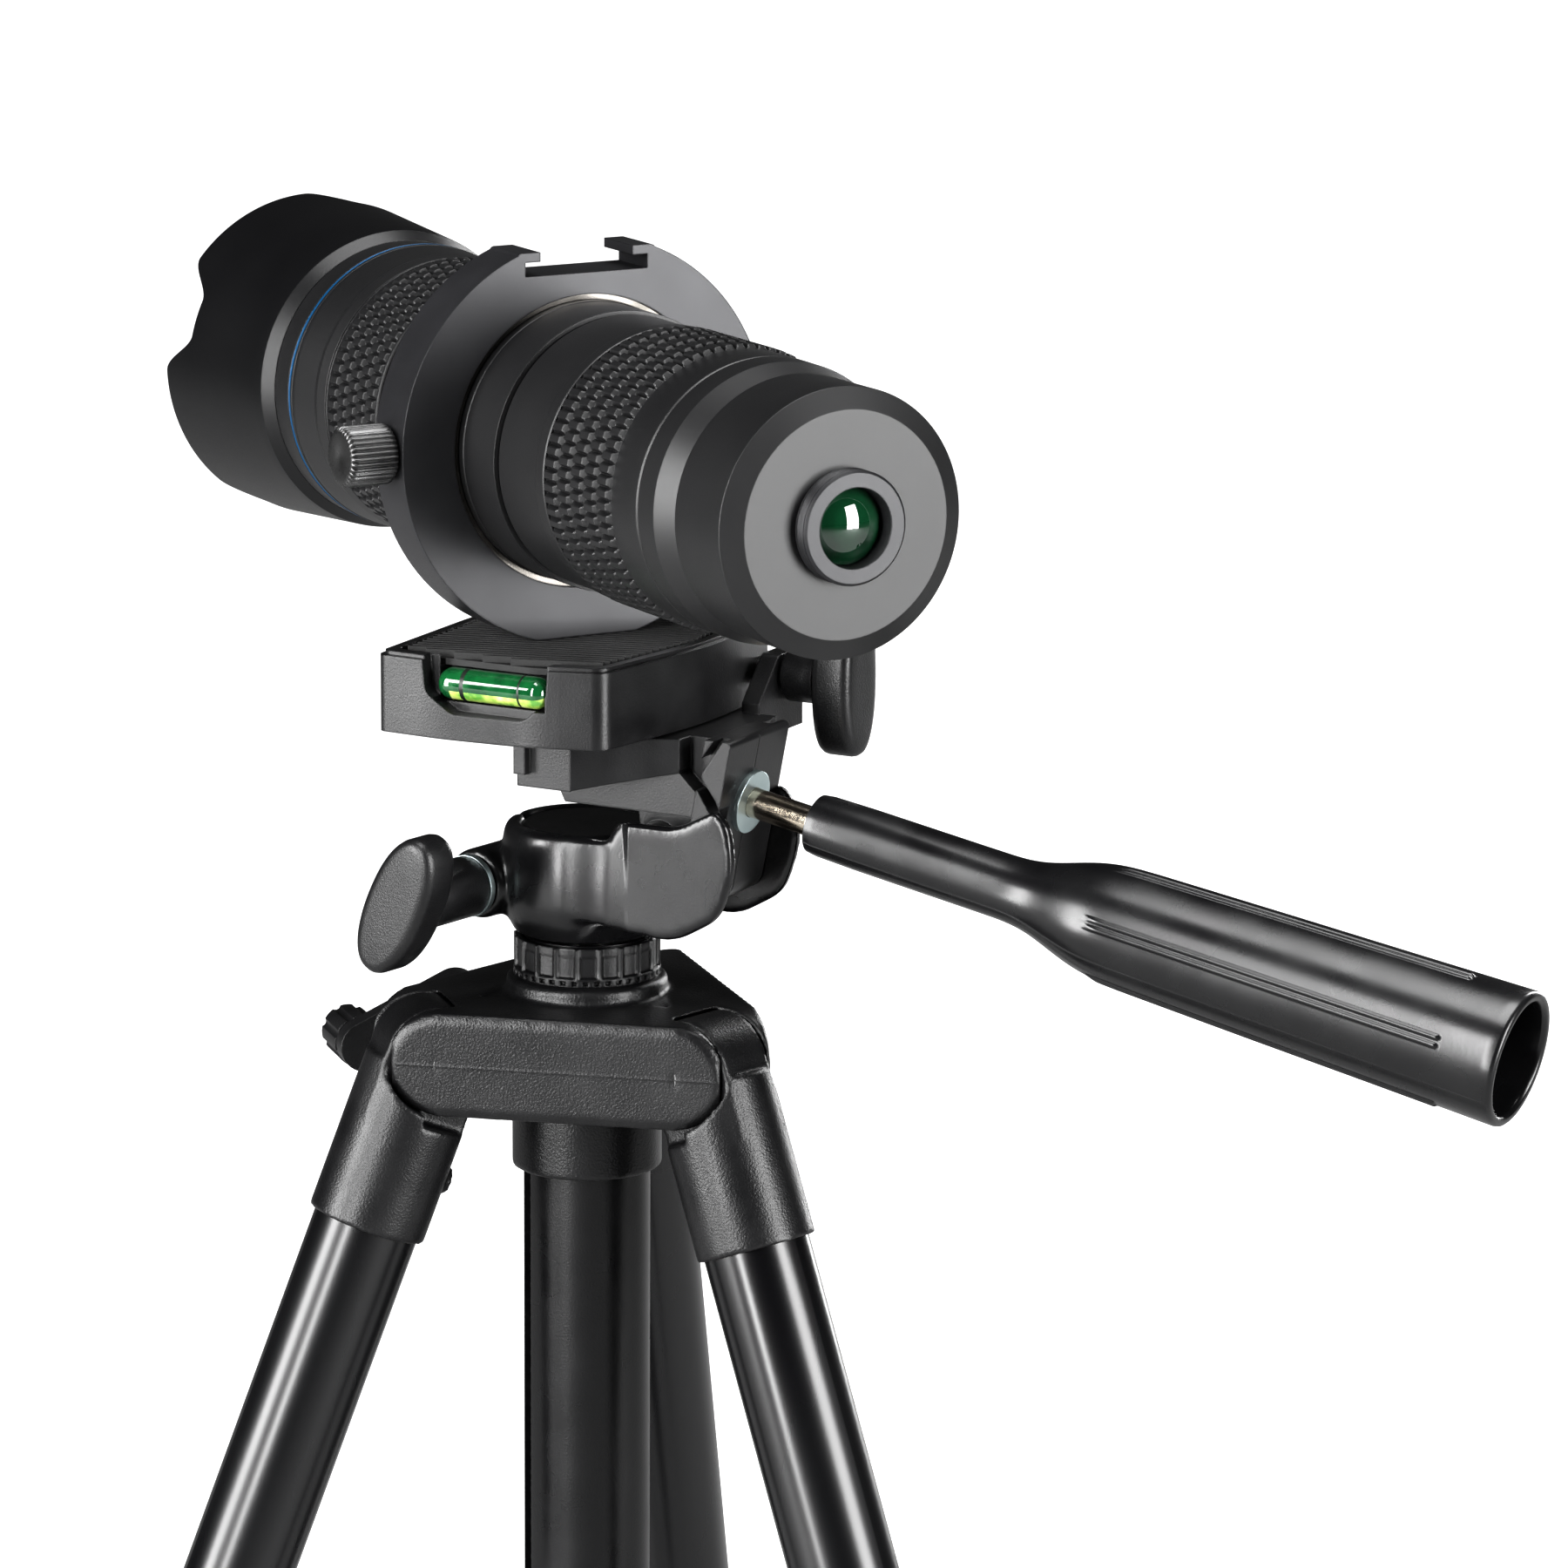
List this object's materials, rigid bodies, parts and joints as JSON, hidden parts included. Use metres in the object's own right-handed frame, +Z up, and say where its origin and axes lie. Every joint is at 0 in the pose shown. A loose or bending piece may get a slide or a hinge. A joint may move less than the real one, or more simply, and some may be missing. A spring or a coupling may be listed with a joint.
{
  "type": "zoom monocular on tripod",
  "caption": "Zoom monocular with knurled rings and a petal hood, in a slotted mount ring on a pan-and-tilt head with a folding tabletop tripod.",
  "frame": {"origin": "middle of the base footprint, on the surface the feet stand on", "axes": "+Z up; the optic looks along +Y, its eyepiece towards -Y; +X to the right seen from the eyepiece"},
  "size_m": [0.2216, 0.2402, 0.3911],
  "materials": {
    "anodised_black": "satin black anodised",
    "anodised_grey": "fine turned face, black anodised",
    "anodised_blue": "bright blue anodised",
    "liner_metal": "bright turned",
    "lens_glass": "green coated",
    "inner_glass": "clear",
    "head_plastic": "fine textured black",
    "knob_plastic": "fine textured black",
    "grip_plastic": "smooth black",
    "pad_rubber": "ribbed black",
    "foot_rubber": "plain black",
    "leg_metal": "glossy black lacquer",
    "column_metal": "satin black",
    "rod_chrome": "polished nickel",
    "zinc": "zinc plated",
    "screw_steel": "blackened steel",
    "vial_green": "green spirit in a clear vial",
    "nylon": "moulded nylon"
  },
  "bodies": {
    "shoulder": {"shoulder_casting": "head_plastic", "leg_pin_right": "screw_steel", "leg_pin_back": "screw_steel", "leg_pin_left": "screw_steel"},
    "lock_ring": {"column_lock_ring": "head_plastic"},
    "crank": {"crank_shaft": "screw_steel", "crank_arm": "knob_plastic"},
    "crank_knob": {"crank_knob": "knob_plastic"},
    "column": {"center_column": "column_metal", "column_rack": "nylon", "pan_spindle": "screw_steel", "column_end_cap": "nylon"},
    "hook": {"weight_hook": "screw_steel"},
    "pan": {"pan_housing": "head_plastic", "pan_cap": "head_plastic", "tilt_axle": "screw_steel"},
    "pan_knob": {"pan_knob": "knob_plastic", "pan_knob_screw": "zinc"},
    "tilt": {"tilt_bracket": "head_plastic", "handle_washer": "zinc"},
    "handle": {"handle_rod": "rod_chrome", "handle_grip": "grip_plastic"},
    "platform": {"platform": "head_plastic", "platform_pad": "pad_rubber", "level_vial": "vial_green"},
    "flip_knob": {"flip_knob": "knob_plastic"},
    "camera_screw": {"camera_screw": "screw_steel"},
    "ring": {"mount_ring": "anodised_grey", "ring_liner": "liner_metal"},
    "ring_thumbscrew": {"ring_thumbscrew": "screw_steel"},
    "scope": {"main_barrel": "anodised_black", "front_barrel": "anodised_black", "accent_ring": "anodised_blue", "lens_hood": "anodised_black", "objective_lens": "lens_glass", "eyepiece_housing": "anodised_grey", "eyepiece_thread_ring": "anodised_black", "eye_lens": "lens_glass", "roof_prism": "inner_glass"},
    "focus_ring": {"focus_ring": "anodised_black"},
    "focus_group": {"focus_carrier": "anodised_black", "focus_lens": "inner_glass"},
    "zoom_ring": {"zoom_ring": "anodised_black"},
    "zoom_group": {"zoom_carrier": "anodised_black", "zoom_lens": "inner_glass"},
    "leg_right": {"leg_casting_right": "head_plastic", "upper_tube_right": "leg_metal"},
    "collar_right": {"twist_collar_right": "nylon"},
    "lower_right": {"lower_tube_right": "leg_metal", "foot_right": "foot_rubber"},
    "leg_back": {"leg_casting_back": "head_plastic", "upper_tube_back": "leg_metal"},
    "collar_back": {"twist_collar_back": "nylon"},
    "lower_back": {"lower_tube_back": "leg_metal", "foot_back": "foot_rubber"},
    "leg_left": {"leg_casting_left": "head_plastic", "upper_tube_left": "leg_metal"},
    "collar_left": {"twist_collar_left": "nylon"},
    "lower_left": {"lower_tube_left": "leg_metal", "foot_left": "foot_rubber"}
  },
  "joints": [
    {"name": "lock_ring_turn", "type": "hinge", "parent": "shoulder", "child": "lock_ring", "pos_m": [0.01856, 0.01931, 0.27927], "axis": [0, 0, 1], "range_deg": [0, 120]},
    {"name": "crank_turn", "type": "hinge", "parent": "shoulder", "child": "crank", "pos_m": [0.0069, 0.02166, 0.26467], "axis": [0.1977, 0.9803, 0], "continuous": true},
    {"name": "crank_knob_spin", "type": "hinge", "parent": "crank", "child": "crank_knob", "pos_m": [-0.00833, 0.02473, 0.25776], "axis": [0.1977, 0.9803, 0], "continuous": true},
    {"name": "column_lift", "type": "slide", "parent": "shoulder", "child": "column", "axis": [0, 0, 1], "range_m": [0, 0.16]},
    {"name": "hook_swivel", "type": "hinge", "parent": "column", "child": "hook", "pos_m": [0.01856, 0.01931, 0.07527], "axis": [0, 0, 1], "continuous": true},
    {"name": "pan_turn", "type": "hinge", "parent": "column", "child": "pan", "pos_m": [0.01856, 0.01931, 0.29027], "axis": [0, 0, 1], "continuous": true},
    {"name": "pan_knob_turn", "type": "hinge", "parent": "pan", "child": "pan_knob", "pos_m": [0.01387, 0.03036, 0.29087], "axis": [-0.9205, -0.3907, 0], "range_deg": [-120, 0]},
    {"name": "tilt_turn", "type": "hinge", "parent": "pan", "child": "tilt", "pos_m": [0.0273, 0.00532, 0.30027], "axis": [0.848, 0.5299, 0], "range_deg": [-12, 35]},
    {"name": "handle_twist", "type": "hinge", "parent": "tilt", "child": "handle", "pos_m": [0.03423, -0.00577, 0.30671], "axis": [0.5207, -0.8333, -0.1857], "range_deg": [-180, 0]},
    {"name": "platform_flip", "type": "hinge", "parent": "tilt", "child": "platform", "pos_m": [0.03722, 0.03097, 0.32257], "axis": [-0.5299, 0.848, 0], "range_deg": [0, 90]},
    {"name": "flip_knob_turn", "type": "hinge", "parent": "platform", "child": "flip_knob", "pos_m": [0.05205, 0.00722, 0.32257], "axis": [-0.5299, 0.848, 0], "range_deg": [-180, 0]},
    {"name": "camera_screw_turn", "type": "hinge", "parent": "platform", "child": "camera_screw", "pos_m": [0.01659, 0.02033, 0.32527], "axis": [0, 0, 1], "range_deg": [-180, 0]},
    {"name": "ring_swivel", "type": "hinge", "parent": "platform", "child": "ring", "pos_m": [0.01659, 0.02033, 0.33527], "axis": [0, 0, 1], "continuous": true},
    {"name": "thumbscrew_turn", "type": "hinge", "parent": "ring", "child": "ring_thumbscrew", "pos_m": [-0.01941, 0.02033, 0.3613], "axis": [1, 0, 0], "range_deg": [0, 180]},
    {"name": "scope_roll", "type": "hinge", "parent": "ring", "child": "scope", "pos_m": [0.01659, 0.01931, 0.3613], "axis": [0, 1, 0], "continuous": true},
    {"name": "focus_turn", "type": "hinge", "parent": "scope", "child": "focus_ring", "pos_m": [0.01659, 0.05231, 0.3613], "axis": [0, 1, 0], "range_deg": [0, 270]},
    {"name": "focus_travel", "type": "slide", "parent": "scope", "child": "focus_group", "axis": [0, 1, 0], "range_m": [0, 0.0061]},
    {"name": "zoom_turn", "type": "hinge", "parent": "scope", "child": "zoom_ring", "pos_m": [0.01659, -0.02069, 0.3613], "axis": [0, 1, 0], "range_deg": [0, 180]},
    {"name": "zoom_travel", "type": "slide", "parent": "scope", "child": "zoom_group", "axis": [0, 1, 0], "range_m": [0, 0.0081]},
    {"name": "leg_fold_right", "type": "hinge", "parent": "shoulder", "child": "leg_right", "pos_m": [0.02676, -0.00505, 0.26527], "axis": [0.9478, 0.319, 0], "range_deg": [0, 20.9]},
    {"name": "collar_turn_right", "type": "hinge", "parent": "leg_right", "child": "collar_right", "pos_m": [0.04557, -0.06094, 0.11117], "axis": [0.114, -0.3387, -0.934], "range_deg": [0, 120]},
    {"name": "leg_extend_right", "type": "slide", "parent": "leg_right", "child": "lower_right", "axis": [0.114, -0.3387, -0.934], "range_m": [-0.085, 0]},
    {"name": "leg_fold_back", "type": "hinge", "parent": "shoulder", "child": "leg_back", "pos_m": [0.03556, 0.03859, 0.26527], "axis": [-0.7501, 0.6613, 0], "range_deg": [0, 20.9]},
    {"name": "collar_turn_back", "type": "hinge", "parent": "leg_back", "child": "collar_back", "pos_m": [0.07455, 0.08282, 0.11117], "axis": [0.2363, 0.2681, -0.934], "range_deg": [0, 120]},
    {"name": "leg_extend_back", "type": "slide", "parent": "leg_back", "child": "lower_back", "axis": [0.2363, 0.2681, -0.934], "range_m": [-0.085, 0]},
    {"name": "leg_fold_left", "type": "hinge", "parent": "shoulder", "child": "leg_left", "pos_m": [-0.00663, 0.02439, 0.26527], "axis": [-0.1977, -0.9803, 0], "range_deg": [0, 20.9]},
    {"name": "collar_turn_left", "type": "hinge", "parent": "leg_left", "child": "collar_left", "pos_m": [-0.06444, 0.03605, 0.11117], "axis": [-0.3503, 0.0706, -0.934], "range_deg": [0, 120]},
    {"name": "leg_extend_left", "type": "slide", "parent": "leg_left", "child": "lower_left", "axis": [-0.3503, 0.0706, -0.934], "range_m": [-0.085, 0]}
  ],
  "couplings": [
    {"joint": "crank_turn", "follows": "column_lift", "rad_per_m": -277.78},
    {"joint": "focus_travel", "follows": "focus_turn", "m_per_rad": 0.0012732},
    {"joint": "zoom_travel", "follows": "zoom_turn", "m_per_rad": 0.0025465}
  ]
}
